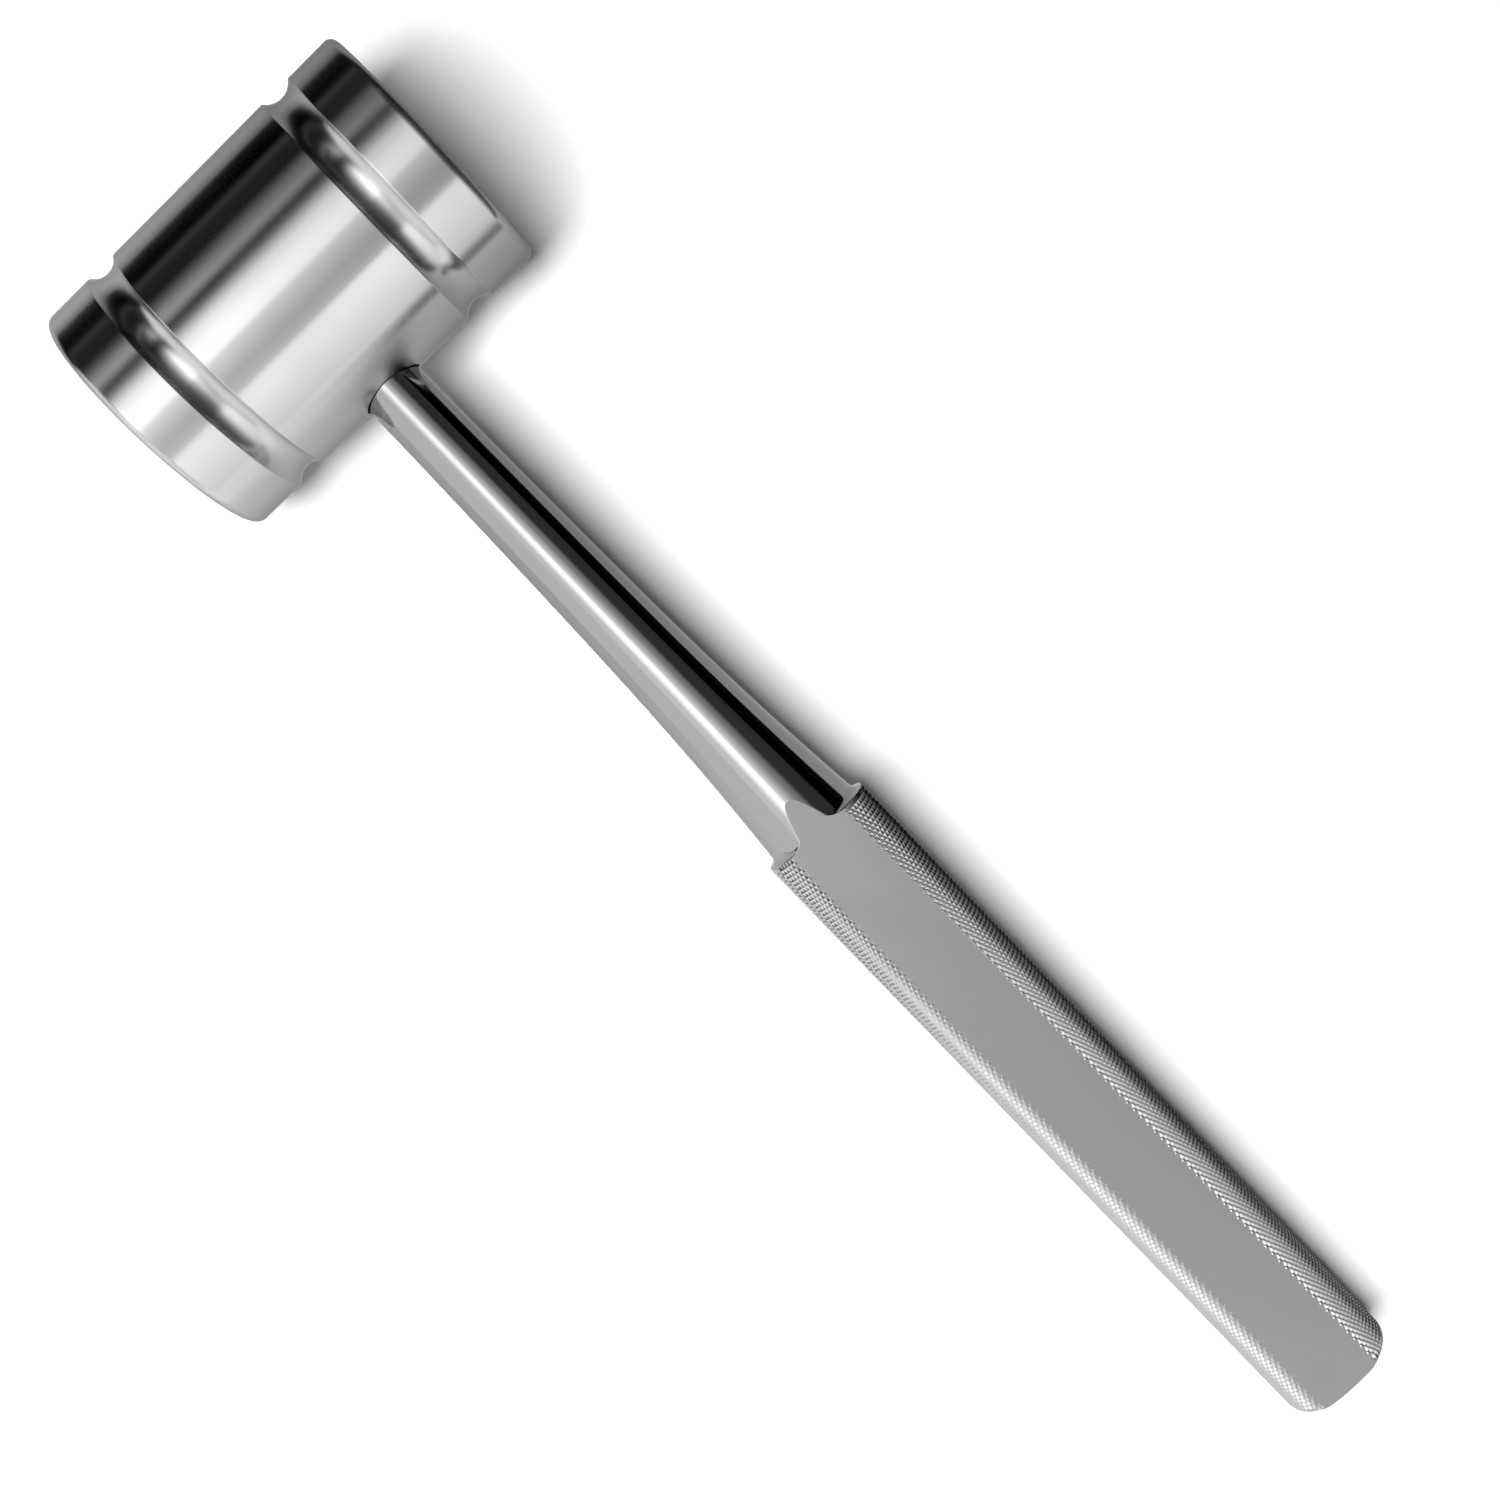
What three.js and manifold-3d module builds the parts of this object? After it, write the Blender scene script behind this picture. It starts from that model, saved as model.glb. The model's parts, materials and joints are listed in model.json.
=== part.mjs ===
// All-steel mallet: a solid turned drum with two round grooves, and a one-piece handle that
// screws into the side of the drum. The handle is a slim neck that flares into a round grip,
// and the grip has a wide flat milled on each of its two broad sides.
//
// Working frame: the handle's axis is +X from the middle of the drum, the drum's axis is Y and
// the milled flats face up and down along Z. The mallet is then tipped so that it lies on
// z = 0, on the drum and on the end of the grip's lower flat. Lengths are in millimetres.

import * as THREE from 'three';
import { mergeVertices } from 'three/addons/utils/BufferGeometryUtils.js';
import Module from 'manifold-3d';

const wasm = await Module();
wasm.setup();

// Driving dimensions
const overallLength = 245;
const headDiameter = 40;
const headLength = 56.4;
const gripDiameter = 18.6;
const acrossFlats = 14.8;
const neckDiameter = 9.56;
const fitGap = 0.3;

// Drum
const headRadius = headDiameter / 2;
const headEdgeRadius = 1.3;
const grooveOffset = 17.2;
const grooveDepth = 1.23;
const grooveRadius = 3.25;
const grooveShoulderRadius = 0.35;

// Handle, with distances along its axis from the middle of the drum
const neckRadius = neckDiameter / 2;
const gripRadius = gripDiameter / 2;
const flatHeight = acrossFlats / 2;
const buttX = overallLength - headRadius;
const gripStartX = 108.2;
const flareEndRadius = 7.85;
const neckTaper = 0.0113;
const flareSlope = 0.09;
const taperReach = 0.64;
const flareReach = 0.22;
const gripFilletRadius = 1.4;
const gripEdgeChamfer = 0.25;
const buttEdgeRadius = 1;
const buttCrown = 0.8;

// Joint inside the drum: the neck enters a counterbore, and a stepped-down spigot goes on
// through it into a blind hole that ends in a drill point
const shoulderX = 14.6;
const spigotRadius = 3.7;
const spigotTipX = -4;
const spigotChamfer = 0.8;
const reliefWidth = 1.6;
const reliefDepth = 0.5;
const holeBottomX = -5;
const drillPointAngle = THREE.MathUtils.degToRad(59);

// Fineness of the faceted solids
const headSides = 80;
const handleSides = 72;
const edgeSteps = 4;
const grooveSteps = 7;
const neckSteps = 14;
const crownSteps = 4;

const quarterTurn = Math.PI / 2;

/** A closed manifold solid from a three.js geometry. */
function solidOf(geometry) {
  const bare = geometry.clone();
  bare.deleteAttribute('normal');
  bare.deleteAttribute('uv');
  const merged = mergeVertices(bare);
  const vertProperties = new Float32Array(merged.attributes.position.array);
  const triVerts = new Uint32Array(merged.index.array);
  return new wasm.Manifold(new wasm.Mesh({ numProp: 3, vertProperties, triVerts }));
}

/** A three.js geometry from a manifold solid. */
function geometryOf(solid) {
  const mesh = solid.getMesh();
  const geometry = new THREE.BufferGeometry();
  geometry.setAttribute('position', new THREE.BufferAttribute(mesh.vertProperties, 3));
  geometry.setIndex(new THREE.BufferAttribute(mesh.triVerts, 1));
  geometry.computeVertexNormals();
  return geometry;
}

/** Points of a profile, as (radius, distance along the axis), on an arc between two angles. */
function arcPoints(centreRadius, centreAlong, radius, fromAngle, toAngle, steps) {
  const points = [];
  for (let step = 0; step <= steps; step += 1) {
    const angle = THREE.MathUtils.lerp(fromAngle, toAngle, step / steps);
    const outward = centreRadius + radius * Math.cos(angle);
    const along = centreAlong + radius * Math.sin(angle);
    points.push(new THREE.Vector2(outward, along));
  }
  return points;
}

/** A solid turned about X from a profile of (radius, x) points that run towards +X. */
function turnedAboutX(profile, sides) {
  const geometry = new THREE.LatheGeometry(profile, sides);
  geometry.rotateZ(-quarterTurn);
  return solidOf(geometry);
}

/** Profile of one round groove in the drum, with softened shoulders. */
function grooveProfile(middle) {
  const centreRadius = headRadius + grooveRadius - grooveDepth;
  const shoulderCentreRadius = headRadius - grooveShoulderRadius;
  const rise = centreRadius - shoulderCentreRadius;
  const reach = grooveRadius + grooveShoulderRadius;
  const halfWidth = Math.sqrt(reach ** 2 - rise ** 2);
  const meetAngle = Math.atan2(halfWidth, rise);
  const near = arcPoints(
    shoulderCentreRadius, middle - halfWidth, grooveShoulderRadius, 0, meetAngle, 2);
  const floor = arcPoints(
    centreRadius, middle, grooveRadius, Math.PI + meetAngle, Math.PI - meetAngle, grooveSteps);
  const far = arcPoints(
    shoulderCentreRadius, middle + halfWidth, grooveShoulderRadius, -meetAngle, 0, 2);
  return [...near, ...floor.slice(1, -1), ...far];
}

/** The plain drum: flat striking faces, rounded edges and two grooves. */
function drumSolid() {
  const half = headLength / 2;
  const edgeCentreRadius = headRadius - headEdgeRadius;
  const edgeCentreAlong = half - headEdgeRadius;
  const profile = [
    new THREE.Vector2(0, -half),
    ...arcPoints(edgeCentreRadius, -edgeCentreAlong, headEdgeRadius, -quarterTurn, 0, edgeSteps),
    ...grooveProfile(-grooveOffset),
    ...grooveProfile(grooveOffset),
    ...arcPoints(edgeCentreRadius, edgeCentreAlong, headEdgeRadius, 0, quarterTurn, edgeSteps),
    new THREE.Vector2(0, half),
  ];
  return solidOf(new THREE.LatheGeometry(profile, headSides));
}

/** What is bored out of the drum for the handle. */
function socketSolid() {
  const holeRadius = spigotRadius + fitGap;
  const counterboreRadius = neckRadius + fitGap;
  const drillPointX = holeBottomX - holeRadius / Math.tan(drillPointAngle);
  const profile = [
    new THREE.Vector2(0, drillPointX),
    new THREE.Vector2(holeRadius, holeBottomX),
    new THREE.Vector2(holeRadius, shoulderX - fitGap),
    new THREE.Vector2(counterboreRadius, shoulderX - fitGap),
    new THREE.Vector2(counterboreRadius, headDiameter),
    new THREE.Vector2(0, headDiameter),
  ];
  return turnedAboutX(profile, handleSides);
}

/** Profile of the spigot, up to the shoulder where the full neck begins. */
function spigotProfile() {
  const reliefRadius = spigotRadius - reliefDepth;
  return [
    new THREE.Vector2(0, spigotTipX),
    new THREE.Vector2(spigotRadius - spigotChamfer, spigotTipX),
    new THREE.Vector2(spigotRadius, spigotTipX + spigotChamfer),
    new THREE.Vector2(spigotRadius, shoulderX - reliefWidth - reliefDepth),
    new THREE.Vector2(reliefRadius, shoulderX - reliefWidth),
    new THREE.Vector2(reliefRadius, shoulderX),
    new THREE.Vector2(neckRadius, shoulderX),
  ];
}

/** Profile of the neck: a slow taper that sweeps into a flare. */
function neckProfile() {
  const flareEndX = gripStartX - gripFilletRadius;
  const neckLength = flareEndX - headRadius;
  const taperRun = taperReach * neckLength;
  const flareRun = flareReach * neckLength;
  const curve = new THREE.CubicBezierCurve(
    new THREE.Vector2(neckRadius, headRadius),
    new THREE.Vector2(neckRadius + neckTaper * taperRun, headRadius + taperRun),
    new THREE.Vector2(flareEndRadius - flareSlope * flareRun, flareEndX - flareRun),
    new THREE.Vector2(flareEndRadius, flareEndX),
  );
  return curve.getPoints(neckSteps);
}

/** Profile of the grip: a filleted step up, the full radius, and the crowned butt. */
function gripProfile() {
  const fillet = arcPoints(
    flareEndRadius + gripFilletRadius, gripStartX - gripFilletRadius,
    gripFilletRadius, Math.PI, quarterTurn, edgeSteps);
  const cornerRadius = gripRadius - buttEdgeRadius;
  const crownRadius = (cornerRadius ** 2 + buttCrown ** 2) / (2 * buttCrown);
  const crownAngle = Math.asin(cornerRadius / crownRadius);
  const corner = arcPoints(
    cornerRadius, buttX - buttCrown - buttEdgeRadius,
    buttEdgeRadius, 0, quarterTurn - crownAngle, edgeSteps);
  const crown = arcPoints(
    0, buttX - crownRadius, crownRadius,
    quarterTurn - crownAngle, quarterTurn, crownSteps);
  return [
    ...fillet.slice(1),
    new THREE.Vector2(gripRadius - gripEdgeChamfer, gripStartX),
    new THREE.Vector2(gripRadius, gripStartX + gripEdgeChamfer),
    ...corner,
    ...crown.slice(1, -1),
    new THREE.Vector2(0, buttX),
  ];
}

/** The handle: turned in one piece, then milled flat above and below. */
function handleSolid() {
  const profile = [...spigotProfile(), ...neckProfile(), ...gripProfile()];
  const turned = turnedAboutX(profile, handleSides);
  const slab = new THREE.BoxGeometry(2 * overallLength, gripDiameter * 2, acrossFlats);
  return turned.intersect(solidOf(slab));
}

/** Angle that puts the drum and the end of the grip's lower flat on one level. */
function restingTilt() {
  const cornerRadius = gripRadius - buttEdgeRadius;
  const flatEndX = buttX - buttCrown * (flatHeight / cornerRadius) ** 2;
  const reach = Math.hypot(flatEndX, flatHeight);
  return Math.asin(headRadius / reach) - Math.atan2(flatHeight, flatEndX);
}

const turnedSteel = new THREE.MeshStandardMaterial({
  color: 0xb4b6b8,
  roughness: 0.24,
  metalness: 1,
});
const handleSteel = new THREE.MeshStandardMaterial({
  color: 0xa9abad,
  roughness: 0.3,
  metalness: 1,
});

const head = new THREE.Mesh(geometryOf(drumSolid().subtract(socketSolid())), turnedSteel);
head.name = 'head';

const handle = new THREE.Mesh(geometryOf(handleSolid()), handleSteel);
handle.name = 'handle';

// Both pieces lie tipped together, and the origin ends up under the middle of the whole
const tipped = new THREE.Group();
tipped.rotation.y = restingTilt();
tipped.add(head, handle);

const mallet = new THREE.Group();
mallet.add(tipped);
mallet.updateMatrixWorld(true);
const bounds = new THREE.Box3().setFromObject(mallet, true);
const centre = bounds.getCenter(new THREE.Vector3());
tipped.position.set(-centre.x, -centre.y, -bounds.min.z);

export default mallet;
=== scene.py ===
"""An all-steel mallet lying on a pale floor, seen from nearly straight above.

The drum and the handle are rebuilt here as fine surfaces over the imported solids. Both are made
in the handle's own frame, in millimetres: x runs along the handle from the middle of the drum,
y runs along the drum's axis, and the milled flats face up and down along z.
"""

import json
import math

import bmesh
import bpy
from mathutils import Matrix, Vector


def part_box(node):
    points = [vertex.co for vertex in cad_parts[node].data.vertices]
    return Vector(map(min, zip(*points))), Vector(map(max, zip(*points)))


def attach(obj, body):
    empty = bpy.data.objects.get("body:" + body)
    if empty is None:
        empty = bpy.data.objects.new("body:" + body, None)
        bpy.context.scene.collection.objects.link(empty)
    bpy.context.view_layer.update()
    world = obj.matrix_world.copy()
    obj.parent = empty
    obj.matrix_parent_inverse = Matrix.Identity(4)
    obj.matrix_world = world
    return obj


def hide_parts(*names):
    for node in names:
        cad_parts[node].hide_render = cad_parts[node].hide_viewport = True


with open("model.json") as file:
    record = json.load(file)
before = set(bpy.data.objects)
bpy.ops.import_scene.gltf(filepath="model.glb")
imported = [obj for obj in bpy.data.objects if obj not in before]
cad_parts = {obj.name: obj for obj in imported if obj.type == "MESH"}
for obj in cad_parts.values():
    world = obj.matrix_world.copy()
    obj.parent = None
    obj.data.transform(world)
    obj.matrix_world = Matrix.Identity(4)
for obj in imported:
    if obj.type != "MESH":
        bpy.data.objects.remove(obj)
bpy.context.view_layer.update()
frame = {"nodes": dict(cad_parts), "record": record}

MM = 0.001
QUARTER = math.pi / 2

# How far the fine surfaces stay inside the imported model's outline, in millimetres
HAIR = 0.004

# Shape of the drum, in millimetres
EDGE_RADIUS = 1.3
GROOVE_OFFSET = 17.2
GROOVE_DEPTH = 1.23
GROOVE_RADIUS = 3.25
GROOVE_SHOULDER = 0.35
DRUM_SIDES = 256
EDGE_STEPS = 14
GROOVE_STEPS = 28
SHOULDER_STEPS = 6

# Shape of the handle, in millimetres
NECK_RADIUS = 4.78
SHOULDER_X = 14.6
FIT_GAP = 0.3
GRIP_START_X = 108.2
FLARE_END_RADIUS = 7.85
NECK_TAPER = 0.0113
FLARE_SLOPE = 0.09
TAPER_REACH = 0.64
FLARE_REACH = 0.22
GRIP_FILLET = 1.4
GRIP_CHAMFER = 0.25
HIDDEN_OVERLAP = 0.8
NECK_STEPS = 170
FILLET_STEPS = 12
FLAT_RIM_RADIUS = 0.6
BUTT_EDGE_RADIUS = 1.0
BUTT_CROWN = 0.8

# The crossed knurl: diamonds around the grip, their length and depth in millimetres, and how
# much of each diamond is left as a small flat top
KNURL_AROUND = 70
KNURL_LENGTH = 1.52
KNURL_DEPTH = 0.32
KNURL_TOP = 0.16

# The camera, in the handle's frame and in millimetres; the slant is the handle's on the picture
CAMERA_EYE = (70.2, 18.8, 271.8)
CAMERA_TARGET = (93.3, 0.85, 0)
CAMERA_SLANT = math.radians(46.24)
CAMERA_LENS = 44.5
CAMERA_SENSOR = 36

# The studio, in metres: the reach of its ceiling and walls, and how far round the object the
# floor is mirrored before the low dark sheets at its far end and far side
ROOM = 1.0
FLOOR_REACH = 6
DOME_RADIUS = 1.15
SHEET_FAR_REACH = 0.16
SHEET_SIDE_REACH = 0.11
SHEET_EDGE_WIDTH = 0.5
SHEET_EDGE_HEIGHT = 0.03
EVEN = ((-1, 1), (1, 1))


def mount(name):
    """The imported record's mount of that name."""
    return next(m for m in frame["record"]["mounts"] if m["name"] == name)


def farthest(node, start, direction):
    """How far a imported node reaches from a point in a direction, in millimetres."""
    vertices = frame["nodes"][node].data.vertices
    return max((v.co - start).dot(direction) for v in vertices) / MM


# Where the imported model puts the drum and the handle
drum_low, drum_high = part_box("head")
handle_low, handle_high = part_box("handle")
pivot = (drum_low + drum_high) / 2
flat_normal = Vector(mount("grip_flat_upper")["axis"]).normalized()
handle_axis = Vector((flat_normal.z, 0, -flat_normal.x))
flat_point = Vector(mount("grip_flat_upper")["pos_m"])
drum_radius = (drum_high.x - drum_low.x) / 2 / MM - HAIR
drum_half_length = (drum_high.y - drum_low.y) / 2 / MM - HAIR
grip_radius = handle_high.y / MM - HAIR
flat_height = (flat_point - pivot).dot(flat_normal) / MM
butt_x = farthest("handle", pivot, handle_axis) - HAIR
tilt = math.atan2(flat_normal.x, flat_normal.z)
in_place = Matrix.Translation(pivot) @ Matrix.Rotation(tilt, 4, "Y")


# ---------------------------------------------------------------- mesh helpers


def arc(centre_along, centre_radius, radius, start, end, steps):
    """Profile points (along, radius) on an arc; the angle is measured from straight outward."""
    points = []
    for step in range(steps + 1):
        angle = start + (end - start) * step / steps
        along = centre_along + radius * math.sin(angle)
        points.append((along, centre_radius + radius * math.cos(angle)))
    return points


def join_rings(bm, first, second, closed=True):
    """Quads between two rings of equally many vertices; returns the new faces."""
    count = len(first)
    last = count if closed else count - 1
    faces = []
    for i in range(last):
        j = (i + 1) % count
        faces.append(bm.faces.new((first[i], first[j], second[j], second[i])))
    return faces


def fan(bm, ring, centre, outward_last):
    """Triangles from a ring to a centre vertex."""
    faces = []
    for i, vertex in enumerate(ring):
        following = ring[(i + 1) % len(ring)]
        corners = (vertex, following, centre) if outward_last else (following, vertex, centre)
        faces.append(bm.faces.new(corners))
    return faces


def sharpen(bm, angle):
    """Marks every edge that bends more than the angle as sharp, and smooths the rest."""
    for edge in bm.edges:
        if len(edge.link_faces) == 2:
            edge.smooth = edge.calc_face_angle(0) < angle


def as_piece(bm, name, materials):
    """A named object from a bmesh in the handle's frame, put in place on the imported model."""
    bm.transform(Matrix.Rotation(tilt, 4, "Y") @ Matrix.Scale(MM, 4))
    mesh = bpy.data.meshes.new(name)
    bm.to_mesh(mesh)
    bm.free()
    for material in materials:
        mesh.materials.append(material)
    piece = bpy.data.objects.new(name, mesh)
    bpy.context.scene.collection.objects.link(piece)
    piece.matrix_world = Matrix.Translation(pivot)
    return piece


# ---------------------------------------------------------------- drum


def groove(middle):
    """Profile of one round groove with softened shoulders."""
    centre_radius = drum_radius + GROOVE_RADIUS - GROOVE_DEPTH
    shoulder_radius = drum_radius - GROOVE_SHOULDER
    rise = centre_radius - shoulder_radius
    half_width = math.sqrt((GROOVE_RADIUS + GROOVE_SHOULDER) ** 2 - rise**2)
    meet = math.atan2(half_width, rise)
    near = arc(middle - half_width, shoulder_radius, GROOVE_SHOULDER, 0, meet, SHOULDER_STEPS)
    floor = arc(middle, centre_radius, GROOVE_RADIUS, math.pi + meet, math.pi - meet, GROOVE_STEPS)
    far = arc(middle + half_width, shoulder_radius, GROOVE_SHOULDER, -meet, 0, SHOULDER_STEPS)
    return near + floor[1:-1] + far


def drum_profile():
    """The drum's whole profile, with extra rings that keep each flat stretch flat."""
    hold = 0.06
    edge_along = drum_half_length - EDGE_RADIUS
    edge_centre = drum_radius - EDGE_RADIUS
    left_edge = arc(-edge_along, edge_centre, EDGE_RADIUS, -QUARTER, 0, EDGE_STEPS)
    right_edge = arc(edge_along, edge_centre, EDGE_RADIUS, 0, QUARTER, EDGE_STEPS)
    left_groove = groove(-GROOVE_OFFSET)
    right_groove = groove(GROOVE_OFFSET)
    profile = [(-drum_half_length, edge_centre * share) for share in (0.3, 0.65, 0.9)]
    profile.append((-drum_half_length, edge_centre - hold))
    for stretch in (left_edge, left_groove, right_groove, right_edge):
        starts_flat = stretch is not left_edge
        ends_flat = stretch is not right_edge
        if starts_flat:
            profile.append((stretch[0][0] - hold, drum_radius))
        profile += stretch
        if ends_flat:
            profile.append((stretch[-1][0] + hold, drum_radius))
    profile.append((drum_half_length, edge_centre - hold))
    profile += [(drum_half_length, edge_centre * share) for share in (0.9, 0.65, 0.3)]
    return profile


def drum_mesh():
    """The drum without its hole, turned about y."""
    bm = bmesh.new()
    rings = []
    for along, radius in drum_profile():
        ring = []
        for side in range(DRUM_SIDES):
            angle = 2 * math.pi * side / DRUM_SIDES
            ring.append(bm.verts.new((radius * math.sin(angle), along, radius * math.cos(angle))))
        rings.append(ring)
    for first, second in zip(rings, rings[1:]):
        join_rings(bm, first, second)
    low = bm.verts.new((0, -drum_half_length, 0))
    high = bm.verts.new((0, drum_half_length, 0))
    fan(bm, rings[0], low, outward_last=False)
    fan(bm, rings[-1], high, outward_last=True)
    bmesh.ops.recalc_face_normals(bm, faces=bm.faces)
    for face in bm.faces:
        face.smooth = True
    return bm


def hole_cutter():
    """What is bored out of the drum's side to take the neck."""
    bm = bmesh.new()
    radius = NECK_RADIUS + FIT_GAP
    sides = 96
    rings = []
    for x in (SHOULDER_X - FIT_GAP, 2 * drum_radius):
        ring = []
        for side in range(sides):
            angle = 2 * math.pi * side / sides
            ring.append(bm.verts.new((x, radius * math.cos(angle), radius * math.sin(angle))))
        rings.append(ring)
    join_rings(bm, *rings)
    bm.faces.new(rings[0])
    bm.faces.new(rings[1])
    bmesh.ops.recalc_face_normals(bm, faces=bm.faces)
    return bm


def build_drum(material):
    """The drum with its hole cut."""
    cutter = as_piece(hole_cutter(), "cutter", [])
    drum = as_piece(drum_mesh(), "drum", [material])
    cut = drum.modifiers.new("hole", "BOOLEAN")
    cut.operation = "DIFFERENCE"
    cut.object = cutter
    cut.solver = "EXACT"
    bpy.context.view_layer.update()
    graph = bpy.context.evaluated_depsgraph_get()
    mesh = bpy.data.meshes.new_from_object(drum.evaluated_get(graph))
    drum.modifiers.clear()
    drum.data = mesh
    bpy.data.objects.remove(cutter)
    bm = bmesh.new()
    bm.from_mesh(mesh)
    sharpen(bm, math.radians(35))
    bm.to_mesh(mesh)
    bm.free()
    return drum


# ---------------------------------------------------------------- neck


def bezier(start, start_pull, end_pull, end, steps):
    """Points of a cubic curve in the plane."""
    points = []
    for step in range(steps + 1):
        t = step / steps
        u = 1 - t
        weights = (u**3, 3 * t * u**2, 3 * u * t**2, t**3)
        controls = (start, start_pull, end_pull, end)
        along = sum(weight * control[0] for weight, control in zip(weights, controls))
        out = sum(weight * control[1] for weight, control in zip(weights, controls))
        points.append((along, out))
    return points


def neck_profile():
    """The neck from its shoulder in the drum to the inside of the grip."""
    flare_end_x = GRIP_START_X - GRIP_FILLET
    length = flare_end_x - drum_radius
    taper_run = TAPER_REACH * length
    flare_run = FLARE_REACH * length
    curve = bezier(
        (drum_radius, NECK_RADIUS),
        (drum_radius + taper_run, NECK_RADIUS + NECK_TAPER * taper_run),
        (flare_end_x - flare_run, FLARE_END_RADIUS - FLARE_SLOPE * flare_run),
        (flare_end_x, FLARE_END_RADIUS),
        NECK_STEPS,
    )
    centre_radius = FLARE_END_RADIUS + GRIP_FILLET
    fillet = arc(flare_end_x, centre_radius, GRIP_FILLET, math.pi, QUARTER, FILLET_STEPS)
    hidden_end = (GRIP_START_X + HIDDEN_OVERLAP, NECK_RADIUS)
    return [(SHOULDER_X, NECK_RADIUS), *curve, *fillet[1:], hidden_end]


def quarter_section(radius, height, rim):
    """A quarter of the section: a round side, then the rounded rim of the flat.

    Below the flat's height the section is a plain circle, and the rim's points all meet on top.
    """
    side_steps = 26
    rim_steps = 5
    if radius <= height:
        turn = QUARTER
        rim_centre = None
    else:
        across = math.sqrt((radius - rim) ** 2 - (height - rim) ** 2)
        turn = math.atan2(height - rim, across)
        rim_centre = (across, height - rim)
    points = []
    for step in range(side_steps + 1):
        angle = turn * step / side_steps
        points.append((radius * math.cos(angle), radius * math.sin(angle)))
    for step in range(1, rim_steps + 1):
        if rim_centre is None:
            points.append((0, radius))
            continue
        angle = turn + (QUARTER - turn) * step / rim_steps
        y = rim_centre[0] + rim * math.cos(angle)
        points.append((y, rim_centre[1] + rim * math.sin(angle)))
    return points


def full_section(radius, height, rim):
    """The whole section, counter-clockwise from +y."""
    quarter = quarter_section(radius, height, rim)
    mirrored = [(-y, z) for y, z in reversed(quarter)]
    upper = quarter + mirrored
    return upper + [(-y, -z) for y, z in upper]


def build_neck(polished, satin):
    """The neck and flare, with the ends of the two flats running out on them."""
    bm = bmesh.new()
    rings = []
    for x, radius in neck_profile():
        section = full_section(radius, flat_height, FLAT_RIM_RADIUS)
        rings.append([bm.verts.new((x, y, z)) for y, z in section])
    for first, second in zip(rings, rings[1:]):
        join_rings(bm, first, second)
    bm.faces.new(reversed(rings[0]))
    bm.faces.new(rings[-1])
    bmesh.ops.remove_doubles(bm, verts=bm.verts, dist=1e-5)
    bmesh.ops.dissolve_degenerate(bm, edges=bm.edges, dist=1e-6)
    bmesh.ops.recalc_face_normals(bm, faces=bm.faces)
    for face in bm.faces:
        is_flat = all(abs(abs(v.co.z) - flat_height) < 1e-4 for v in face.verts)
        face.material_index = 1 if is_flat else 0
        face.smooth = not is_flat
    sharpen(bm, math.radians(50))
    return as_piece(bm, "neck", [polished, satin])


# ---------------------------------------------------------------- grip


def crest_profile():
    """The grip's outline: a function from distance along it to (x, radius), its full length,
    and the radius of the butt's crown."""
    corner_radius = grip_radius - BUTT_EDGE_RADIUS
    crown_radius = (corner_radius**2 + BUTT_CROWN**2) / (2 * BUTT_CROWN)
    crown_angle = math.asin(corner_radius / crown_radius)
    corner_x = butt_x - BUTT_CROWN - BUTT_EDGE_RADIUS * math.cos(crown_angle)
    straight = corner_x - GRIP_START_X
    length = straight + BUTT_EDGE_RADIUS * (QUARTER - crown_angle)

    def point(distance):
        if distance <= straight:
            radius = min(grip_radius, grip_radius - GRIP_CHAMFER + distance)
            return GRIP_START_X + distance, radius
        angle = min(distance - straight, length - straight) / BUTT_EDGE_RADIUS
        x = corner_x + BUTT_EDGE_RADIUS * math.sin(angle)
        return x, corner_radius + BUTT_EDGE_RADIUS * math.cos(angle)

    return point, length, crown_radius


def knurled_surface(bm):
    """The grip's diamonds, each a low pyramid with a small flat top.

    Grooves cross at the roots; the rows of diamonds are half a diamond apart. Returns the
    vertices round the first and the last row.
    """
    crest, length, _ = crest_profile()
    rows = round(length / (KNURL_LENGTH / 2))
    row_step = length / rows
    half_turn = math.pi / KNURL_AROUND
    root_radius = grip_radius - KNURL_DEPTH

    def vertex(distance, angle, raised):
        x, radius = crest(min(max(distance, 0), length))
        if not raised:
            radius = min(radius, root_radius)
        return bm.verts.new((x, radius * math.cos(angle), radius * math.sin(angle)))

    roots = []
    for row in range(rows + 1):
        shift = (row % 2) * half_turn
        roots.append([
            vertex(row * row_step, shift + 2 * half_turn * i, raised=False)
            for i in range(KNURL_AROUND)
        ])
    borders = {0: [], rows: []}
    for row in range(rows + 1):
        shift = (row % 2) * half_turn
        for i in range(KNURL_AROUND):
            angle = shift + 2 * half_turn * (i + 0.5)
            west = roots[row][i]
            east = roots[row][(i + 1) % KNURL_AROUND]
            beside = (i + row % 2) % KNURL_AROUND
            top_west = vertex(row * row_step, angle - KNURL_TOP * half_turn, raised=True)
            top_east = vertex(row * row_step, angle + KNURL_TOP * half_turn, raised=True)
            top = [top_west]
            if row > 0:
                south = roots[row - 1][beside]
                top_south = vertex((row - KNURL_TOP) * row_step, angle, raised=True)
                bm.faces.new((west, south, top_south, top_west))
                bm.faces.new((south, east, top_east, top_south))
                top.append(top_south)
            top.append(top_east)
            if row < rows:
                north = roots[row + 1][beside]
                top_north = vertex((row + KNURL_TOP) * row_step, angle, raised=True)
                bm.faces.new((east, north, top_north, top_east))
                bm.faces.new((north, west, top_west, top_north))
                top.append(top_north)
            bm.faces.new(top)
            if row in borders:
                borders[row] += [west, top_west, top_east]
    return borders[0], borders[rows]


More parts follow.
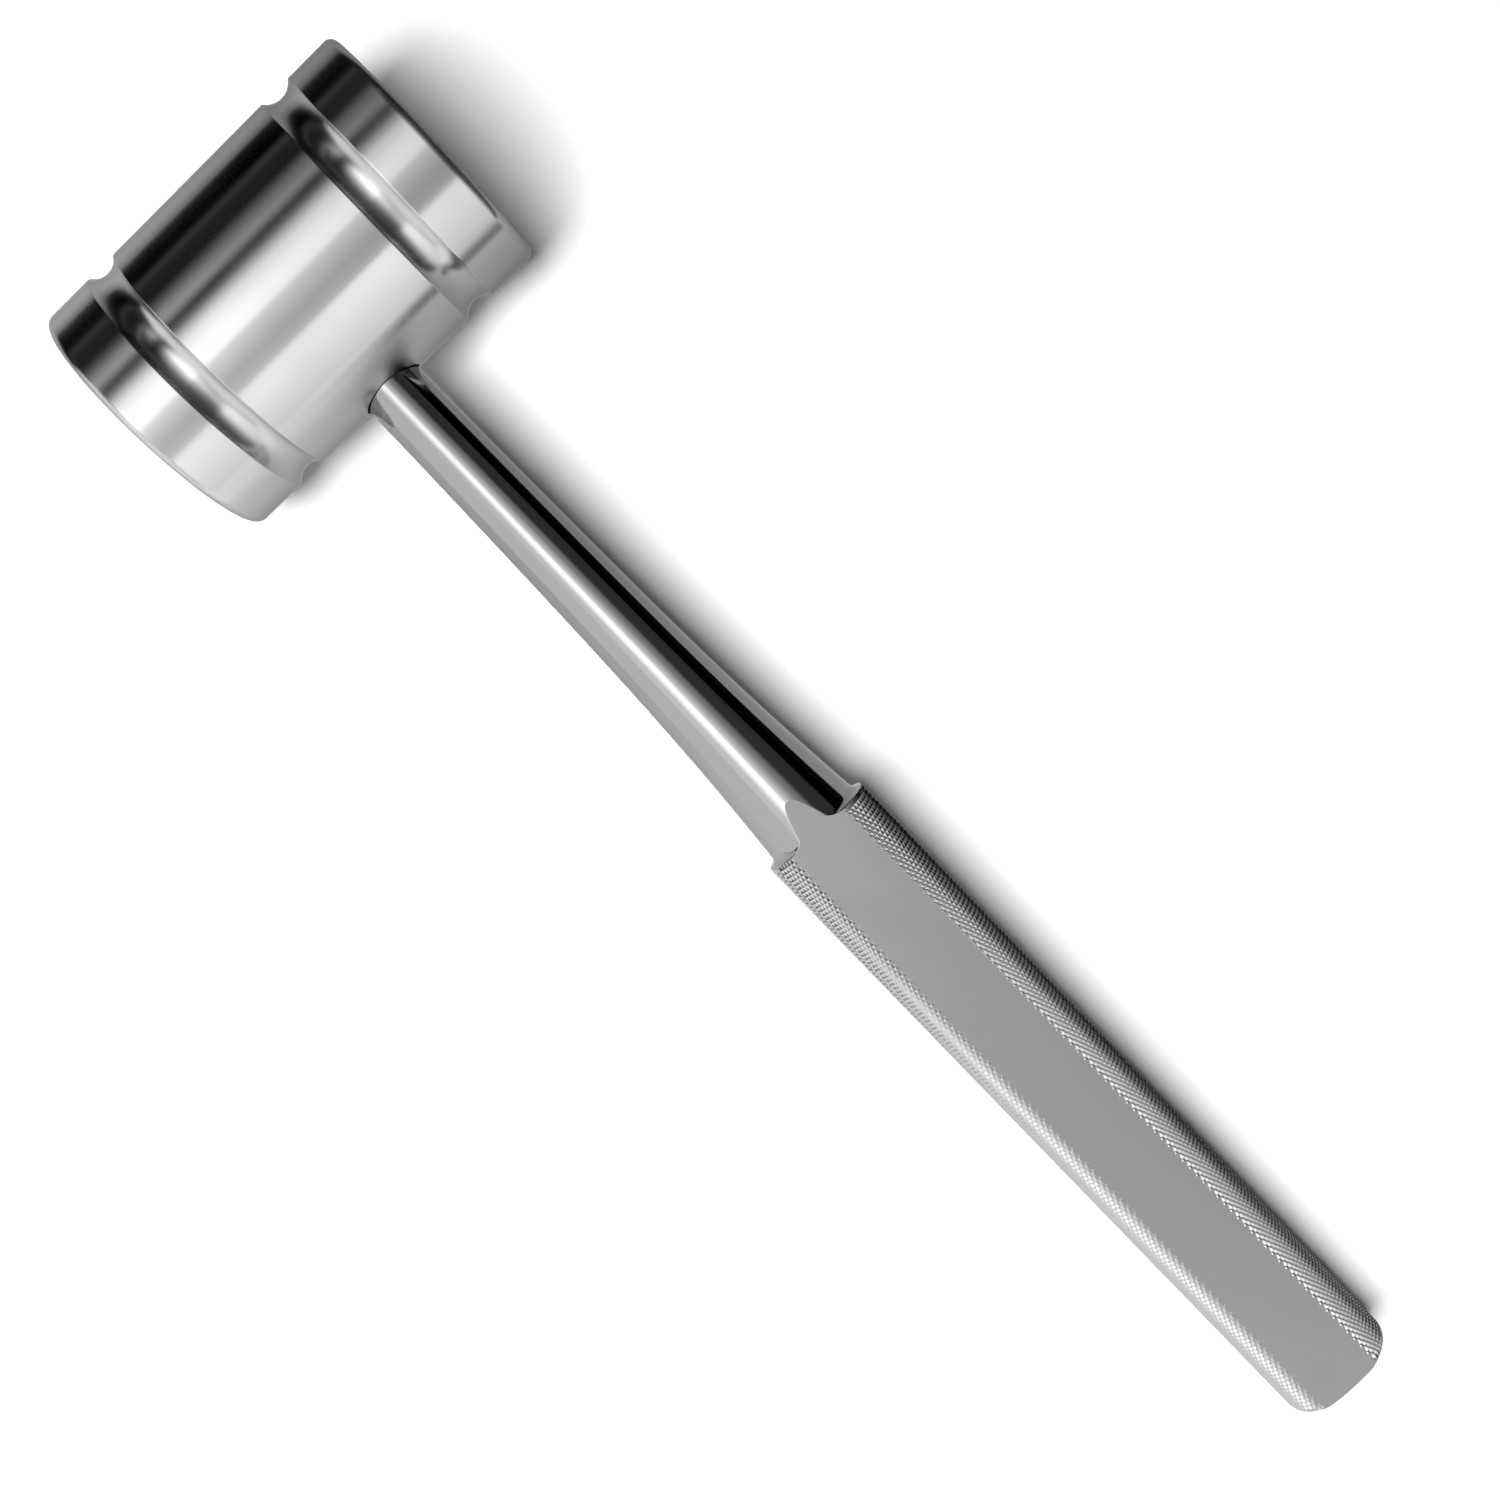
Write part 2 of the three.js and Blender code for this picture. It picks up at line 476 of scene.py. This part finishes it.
def crown(bm, border):
    """The butt's low crown, from the knurl's last row to the middle."""
    _, _, crown_radius = crest_profile()
    edge = math.hypot(border[0].co.y, border[0].co.z)
    centre_x = butt_x - crown_radius
    rings = [border]
    faces = []
    for share in (0.97, 0.85, 0.7, 0.5, 0.3, 0.1):
        radius = edge * share
        x = centre_x + math.sqrt(crown_radius**2 - radius**2)
        ring = []
        for vertex in border:
            scale = radius / math.hypot(vertex.co.y, vertex.co.z)
            ring.append(bm.verts.new((x, vertex.co.y * scale, vertex.co.z * scale)))
        faces += join_rings(bm, rings[-1], ring)
        rings.append(ring)
    tip = bm.verts.new((butt_x, 0, 0))
    faces += fan(bm, rings[-1], tip, outward_last=True)
    return faces


def mill_flat(bm, side):
    """Cuts everything beyond one flat and closes the cut; returns the new faces."""
    plane = Vector((0, 0, side * flat_height))
    geometry = [*bm.verts, *bm.edges, *bm.faces]
    cut = bmesh.ops.bisect_plane(
        bm, geom=geometry, plane_co=plane, plane_no=Vector((0, 0, side)),
        dist=1e-5, clear_outer=True)
    edges = [e for e in cut["geom_cut"] if isinstance(e, bmesh.types.BMEdge)]
    return bmesh.ops.holes_fill(bm, edges=edges, sides=0)["faces"]


def build_grip(knurled, satin, polished):
    """The knurled grip with its flats and crowned butt."""
    bm = bmesh.new()
    first, last = knurled_surface(bm)
    bm.faces.new(reversed(first))
    crown_faces = crown(bm, last)
    for face in crown_faces:
        face.material_index = 2
        face.smooth = True
    bmesh.ops.remove_doubles(bm, verts=bm.verts, dist=1e-5)
    bmesh.ops.dissolve_degenerate(bm, edges=bm.edges, dist=1e-6)
    bmesh.ops.recalc_face_normals(bm, faces=bm.faces)
    for side in (1, -1):
        for face in mill_flat(bm, side):
            face.material_index = 1
            face.smooth = False
    bmesh.ops.recalc_face_normals(bm, faces=bm.faces)
    return as_piece(bm, "grip", [knurled, satin, polished])


# ---------------------------------------------------------------- materials


def new_material(name):
    """A new material, its node tree and its shader."""
    material = bpy.data.materials.new(name)
    material.use_nodes = True
    shader = material.node_tree.nodes["Principled BSDF"]
    return material, material.node_tree, shader


def set_steel(shader, grey, roughness):
    """A bare steel surface."""
    shader.inputs["Base Color"].default_value = (grey, grey, grey * 1.01, 1)
    shader.inputs["Metallic"].default_value = 1
    shader.inputs["Roughness"].default_value = roughness
    shader.inputs["Specular Tint"].default_value = (0.8, 0.8, 0.8, 1)


def node(tree, kind, **settings):
    """A shader node with some of its properties set."""
    made = tree.nodes.new(kind)
    for key, value in settings.items():
        setattr(made, key, value)
    return made


def link(tree, output, target):
    """Joins one node's output to another's input."""
    tree.links.new(output, target)


def stretched_noise(tree, scale, detail, roughness=0.5):
    """Noise in the piece's own space, with its own scale along each axis, in cells per metre."""
    place = node(tree, "ShaderNodeTexCoord")
    mapping = node(tree, "ShaderNodeMapping")
    mapping.inputs["Scale"].default_value = scale
    noise = node(tree, "ShaderNodeTexNoise")
    noise.inputs["Scale"].default_value = 1
    noise.inputs["Detail"].default_value = detail
    noise.inputs["Roughness"].default_value = roughness
    link(tree, place.outputs["Object"], mapping.inputs["Vector"])
    link(tree, mapping.outputs["Vector"], noise.inputs["Vector"])
    return noise.outputs["Fac"]


def turning_lines(tree, per_metre, detail):
    """Lines that run round y: noise of one number, the distance along the turned profile."""
    place = node(tree, "ShaderNodeTexCoord")
    split = node(tree, "ShaderNodeSeparateXYZ")
    flat = node(tree, "ShaderNodeCombineXYZ")
    length = node(tree, "ShaderNodeVectorMath", operation="LENGTH")
    total = node(tree, "ShaderNodeMath", operation="ADD")
    scaled = node(tree, "ShaderNodeMath", operation="MULTIPLY")
    scaled.inputs[1].default_value = per_metre
    noise = node(tree, "ShaderNodeTexNoise", noise_dimensions="1D")
    noise.inputs["Scale"].default_value = 1
    noise.inputs["Detail"].default_value = detail
    link(tree, place.outputs["Object"], split.inputs[0])
    link(tree, split.outputs["X"], flat.inputs["X"])
    link(tree, split.outputs["Z"], flat.inputs["Z"])
    link(tree, flat.outputs[0], length.inputs[0])
    link(tree, length.outputs["Value"], total.inputs[0])
    link(tree, split.outputs["Y"], total.inputs[1])
    link(tree, total.outputs[0], scaled.inputs[0])
    link(tree, scaled.outputs[0], noise.inputs["W"])
    return noise.outputs["Fac"]


def spread(tree, value, low, high):
    """Maps the middle of a noise to a range."""
    made = node(tree, "ShaderNodeMapRange")
    made.inputs["From Min"].default_value = 0.3
    made.inputs["From Max"].default_value = 0.7
    made.inputs["To Min"].default_value = low
    made.inputs["To Max"].default_value = high
    link(tree, value, made.inputs["Value"])
    return made.outputs["Result"]


def bump(tree, height, distance_mm, strength, before=None):
    """A bump of a real height, on top of an earlier one."""
    made = node(tree, "ShaderNodeBump")
    made.inputs["Strength"].default_value = strength
    made.inputs["Distance"].default_value = distance_mm * MM
    link(tree, height, made.inputs["Height"])
    if before is not None:
        link(tree, before, made.inputs["Normal"])
    return made.outputs["Normal"]


def turned_steel():
    """The drum: bright turned steel with fine lines round it."""
    material, tree, shader = new_material("turned_steel")
    set_steel(shader, grey=0.62, roughness=0.22)
    shader.inputs["Specular Tint"].default_value = (0.5, 0.5, 0.5, 1)
    shader.inputs["Anisotropic"].default_value = 0.9
    shader.inputs["Anisotropic Rotation"].default_value = 0.25
    tangent = node(tree, "ShaderNodeTangent", direction_type="RADIAL", axis="Y")
    link(tree, tangent.outputs["Tangent"], shader.inputs["Tangent"])
    fine = turning_lines(tree, per_metre=9000, detail=2)
    coarse = turning_lines(tree, per_metre=900, detail=3)
    worn = stretched_noise(tree, scale=(60, 60, 60), detail=3)
    link(tree, spread(tree, worn, low=0.2, high=0.27), shader.inputs["Roughness"])
    normal = bump(tree, coarse, distance_mm=0.002, strength=0.25)
    normal = bump(tree, fine, distance_mm=0.0012, strength=0.25, before=normal)
    link(tree, normal, shader.inputs["Normal"])
    return material


def polished_steel():
    """The neck: a mirror polish with faint lines drawn along it."""
    material, tree, shader = new_material("polished_steel")
    set_steel(shader, grey=0.39, roughness=0.08)
    drawn = stretched_noise(tree, scale=(30, 1500, 1500), detail=2)
    waves = stretched_noise(tree, scale=(25, 120, 120), detail=1)
    link(tree, spread(tree, drawn, low=0.06, high=0.11), shader.inputs["Roughness"])
    normal = bump(tree, waves, distance_mm=0.004, strength=0.3)
    normal = bump(tree, drawn, distance_mm=0.0008, strength=0.2, before=normal)
    link(tree, normal, shader.inputs["Normal"])
    return material


def satin_steel():
    """The milled flats: an even matt satin with a faint grain."""
    material, tree, shader = new_material("satin_steel")
    set_steel(shader, grey=0.4, roughness=0.42)
    grain = stretched_noise(tree, scale=(900, 2600, 900), detail=4, roughness=0.6)
    mottle = stretched_noise(tree, scale=(90, 160, 90), detail=3)
    link(tree, spread(tree, mottle, low=0.38, high=0.46), shader.inputs["Roughness"])
    normal = bump(tree, grain, distance_mm=0.006, strength=0.25)
    link(tree, normal, shader.inputs["Normal"])
    return material


def knurled_steel():
    """The knurl: bright cut facets with a little burr."""
    material, tree, shader = new_material("knurled_steel")
    set_steel(shader, grey=0.5, roughness=0.18)
    burr = stretched_noise(tree, scale=(2500, 2500, 2500), detail=3)
    dirt = stretched_noise(tree, scale=(300, 300, 300), detail=3)
    link(tree, spread(tree, dirt, low=0.15, high=0.22), shader.inputs["Roughness"])
    normal = bump(tree, burr, distance_mm=0.01, strength=0.3)
    link(tree, normal, shader.inputs["Normal"])
    return material


def plain_material(name, grey, roughness):
    """A dull surface of one grey, for the floor and the dark cards."""
    material, _, shader = new_material(name)
    shader.inputs["Base Color"].default_value = (grey, grey, grey, 1)
    shader.inputs["Roughness"].default_value = roughness
    shader.inputs["Specular IOR Level"].default_value = 0.2
    return material


# ---------------------------------------------------------------- studio


def facing(position, target, roll_hint):
    """A placement at a point, looking at a target, with a hint of which way is up."""
    back = (position - target).normalized()
    right = roll_hint.cross(back).normalized()
    up = back.cross(right)
    turn = Matrix((right, up, back)).transposed().to_4x4()
    return Matrix.Translation(position) @ turn


def in_handle_frame(x, y, z):
    """A point given in the handle's frame, in millimetres, as a place on the model."""
    return in_place @ Vector((x * MM, y * MM, z * MM))


def add_camera():
    """The camera hangs above the neck and looks down on it, with the handle slanting down."""
    data = bpy.data.cameras.new("camera")
    data.sensor_width = CAMERA_SENSOR
    data.lens = CAMERA_LENS
    camera = bpy.data.objects.new("camera", data)
    bpy.context.scene.collection.objects.link(camera)
    up = in_place.to_3x3() @ Vector((-math.sin(CAMERA_SLANT), math.cos(CAMERA_SLANT), 0))
    eye = in_handle_frame(*CAMERA_EYE)
    camera.matrix_world = facing(eye, in_handle_frame(*CAMERA_TARGET), up)
    bpy.context.scene.camera = camera


def stage_object(name, mesh, material):
    """A studio object: it is in the picture but isn't part of the model."""
    mesh.materials.append(material)
    made = bpy.data.objects.new(name, mesh)
    bpy.context.scene.collection.objects.link(made)
    return made


def rectangle(name, width, height):
    """A flat mesh round its own middle."""
    mesh = bpy.data.meshes.new(name)
    w = width / 2
    h = height / 2
    mesh.from_pydata([(-w, -h, 0), (w, -h, 0), (w, h, 0), (-w, h, 0)], [], [(0, 1, 2, 3)])
    return mesh


def card(name, centre, target, width, height, material):
    """A flat studio card that shows in reflections alone."""
    made = stage_object(name, rectangle(name, width, height), material)
    upright = abs((centre - target).normalized().z) < 0.9
    made.matrix_world = facing(centre, target, Vector((0, 0, 1) if upright else (0, 1, 0)))
    made.visible_camera = False
    made.visible_diffuse = False
    made.visible_shadow = False


def graded(tree, output, stops):
    """Follows a coordinate through a few (place in metres, brightness) stops."""
    first = stops[0][0]
    last = stops[-1][0]
    to_unit = node(tree, "ShaderNodeMapRange")
    to_unit.inputs["From Min"].default_value = first
    to_unit.inputs["From Max"].default_value = last
    ramp = node(tree, "ShaderNodeValToRGB")
    elements = ramp.color_ramp.elements
    while len(elements) < len(stops):
        elements.new(0.5)
    for element, (place, level) in zip(elements, stops):
        element.position = (place - first) / (last - first)
        element.color = (level, level, level, 1)
    link(tree, output, to_unit.inputs["Value"])
    link(tree, to_unit.outputs["Result"], ramp.inputs["Fac"])
    return ramp.outputs["Color"]


def glowing(name, across, upward, gain):
    """A card's glow, graded along its width and along its height."""
    material = bpy.data.materials.new(name)
    material.use_nodes = True
    tree = material.node_tree
    tree.nodes.clear()
    place = node(tree, "ShaderNodeTexCoord")
    split = node(tree, "ShaderNodeSeparateXYZ")
    product = node(tree, "ShaderNodeVectorMath", operation="MULTIPLY")
    emission = node(tree, "ShaderNodeEmission")
    emission.inputs["Strength"].default_value = gain
    output = node(tree, "ShaderNodeOutputMaterial")
    link(tree, place.outputs["Object"], split.inputs[0])
    link(tree, graded(tree, split.outputs["X"], across), product.inputs[0])
    link(tree, graded(tree, split.outputs["Y"], upward), product.inputs[1])
    link(tree, product.outputs[0], emission.inputs["Color"])
    link(tree, emission.outputs[0], output.inputs["Surface"])
    return material


def soft_light(name, centre, target, width, height, radiance):
    """A rectangular soft light that lights the floor but isn't mirrored in the steel."""
    data = bpy.data.lights.new(name, "AREA")
    data.shape = "RECTANGLE"
    data.size = width
    data.size_y = height
    data.energy = radiance * width * height * 4
    light = bpy.data.objects.new(name, data)
    bpy.context.scene.collection.objects.link(light)
    light.matrix_world = facing(centre, target, Vector((0, 0, 1)))
    light.visible_camera = False
    light.visible_glossy = False


def add_floor_and_dome():
    """A white floor, and a pale dome that closes the background in views from the side."""
    floor = rectangle("floor", 2 * FLOOR_REACH, 2 * FLOOR_REACH)
    stage_object("floor", floor, plain_material("floor_white", 0.9, 0.9))
    dome_mesh = bpy.data.meshes.new("dome")
    bm = bmesh.new()
    bmesh.ops.create_uvsphere(bm, u_segments=48, v_segments=24, radius=DOME_RADIUS)
    bm.to_mesh(dome_mesh)
    bm.free()
    glow = glowing("glow_dome", ((-2, 0.9), (2, 0.9)), ((-2, 1), (2, 1)), 1)
    dome = stage_object("dome", dome_mesh, glow)
    dome.visible_diffuse = False
    dome.visible_glossy = False
    dome.visible_shadow = False


def add_ceiling(middle):
    """The ceiling: brightest just behind the drum's top, falling off far and to the side."""
    behind = (
        (-1, 0.13), (-0.72, 0.26), (-0.55, 0), (-0.42, 0.1), (-0.3, 0.48), (-0.19, 0.8),
        (0.03, 1), (0.2, 1), (0.23, 0.63), (0.6, 0.38), (1, 0.45),
    )
    sideways = (
        (-1, 0.62), (-0.6, 0.65), (-0.45, 1.0), (-0.32, 1.35), (-0.2, 1.25), (-0.09, 0.68),
        (0.07, 0.45), (0.24, 0.24), (0.42, 0.16), (0.6, 0.03), (1, 0.03),
    )
    glow = glowing("glow_ceiling", behind, sideways, 2.1)
    above = middle + Vector((0, 0, ROOM))
    card("card_ceiling", above, above - Vector((0, 0, 1)), 2 * ROOM, 2 * ROOM, glow)


def add_wall(name, middle, direction, width, glow):
    """A wall of the room, standing on the floor in a direction and facing the middle."""
    foot = middle + direction * ROOM
    centre = foot + Vector((0, 0, ROOM / 2))
    card(name, centre, centre - direction, width, ROOM, glow)


def add_walls(middle):
    """Dark walls at the far end and the far side, bright ones past the butt and at the near side."""
    far_upward = (
        (-0.5, 0), (-0.3, 0), (-0.2, 0.06), (-0.08, 0.02), (0.22, 0.01), (0.4, 0.14), (0.5, 0.22),
    )
    side_upward = ((-0.5, 0), (0.02, 0), (0.1, 0.06), (0.5, 0.06))
    past_across = ((-0.8, 1), (0.15, 1), (0.4, 0.25), (0.8, 0.15))
    past_upward = ((-0.5, 0.5), (-0.3, 0.6), (0.1, 0.75), (0.36, 0.8), (0.5, 0.8))
    far = glowing("glow_far", EVEN, far_upward, 1)
    side = glowing("glow_side", EVEN, side_upward, 1)
    past = glowing("glow_past", past_across, past_upward, 1.9)
    near = glowing("glow_open", EVEN, ((-0.5, 1), (0.5, 1)), 1.1)
    add_wall("card_far", middle, Vector((-1, 0, 0)), 2 * ROOM, far)
    add_wall("card_side", middle, Vector((0, 1, 0)), 2 * ROOM, side)
    add_wall("card_past", middle, Vector((1, 0, 0)), 1.6 * ROOM, past)
    add_wall("card_open", middle, Vector((0, -1, 0)), 2 * ROOM, near)


def add_mirrored_floor(middle):
    """The floor as the steel mirrors it: a greyer sheet with the grip's own shadow on it.

    The sheet ends near the object, so reflections see dark beyond its far end and far side.
    """
    # Painted floor reflection along the handle: black past the far end, dimmer round the drum and
    # the neck.
    along = (
        (-1, 0), (-0.2, 0), (-0.1, 0.3), (-0.06, 0.54), (0.05, 0.5), (0.13, 0.72), (1, 0.8),
    )
    # Painted shade across it: brighter on the near side, dimmer on the far side where the handle's
    # shadow falls.
    across = ((-1, 1.8), (-0.04, 1.6), (0.03, 0.85), (1, 0.85))
    up = Vector((0, 0, 1))
    sheet = middle + Vector((0, 0, 0.0002))
    glow = glowing("glow_floor_painted_shade", along, across, 1)
    card("card_floor", sheet, sheet - up, 2 * ROOM, 2 * ROOM, glow)
    shade = Vector((flat_point.x + 0.004, 0.03, 0.0004))
    card("card_shade", shade, shade - up, 0.115, 0.044, glowing("glow_shade", EVEN, EVEN, 0.12))
    black = plain_material("card_black", 0.0, 1)
    half = SHEET_EDGE_HEIGHT / 2
    far = middle + Vector((-SHEET_FAR_REACH, 0, half))
    side = Vector((0, SHEET_SIDE_REACH, half))
    for name, place, inward in (
        ("card_low_far", far, Vector((1, 0, 0))),
        ("card_low_side", side, Vector((0, -1, 0))),
    ):
        card(name, place, place + inward, SHEET_EDGE_WIDTH, SHEET_EDGE_HEIGHT, black)


def add_lights():
    """A key light leaning over from the near side, and a faint even world."""
    key = Vector((-0.01, -0.21, 0.9))
    soft_light("light_key", key, Vector((0, 0, 0)), 0.3, 0.48, 21)
    world = bpy.data.worlds.new("studio")
    world.use_nodes = True
    background = world.node_tree.nodes["Background"]
    background.inputs["Color"].default_value = (1, 1, 1, 1)
    background.inputs["Strength"].default_value = 0.03
    bpy.context.scene.world = world


def add_studio():
    """The floor, the room of graded cards round the object, and the lights."""
    middle = Vector((pivot.x, 0, 0))
    add_floor_and_dome()
    add_ceiling(middle)
    add_walls(middle)
    add_mirrored_floor(middle)
    add_lights()


# ---------------------------------------------------------------- the scene

polished = polished_steel()
satin = satin_steel()

drum = build_drum(turned_steel())
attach(drum, "root")
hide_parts("head")

neck = build_neck(polished, satin)
grip = build_grip(knurled_steel(), satin, polished)
for piece in (neck, grip):
    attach(piece, "root")
    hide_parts("handle")

add_camera()
add_studio()
bpy.context.scene.view_settings.view_transform = "Standard"
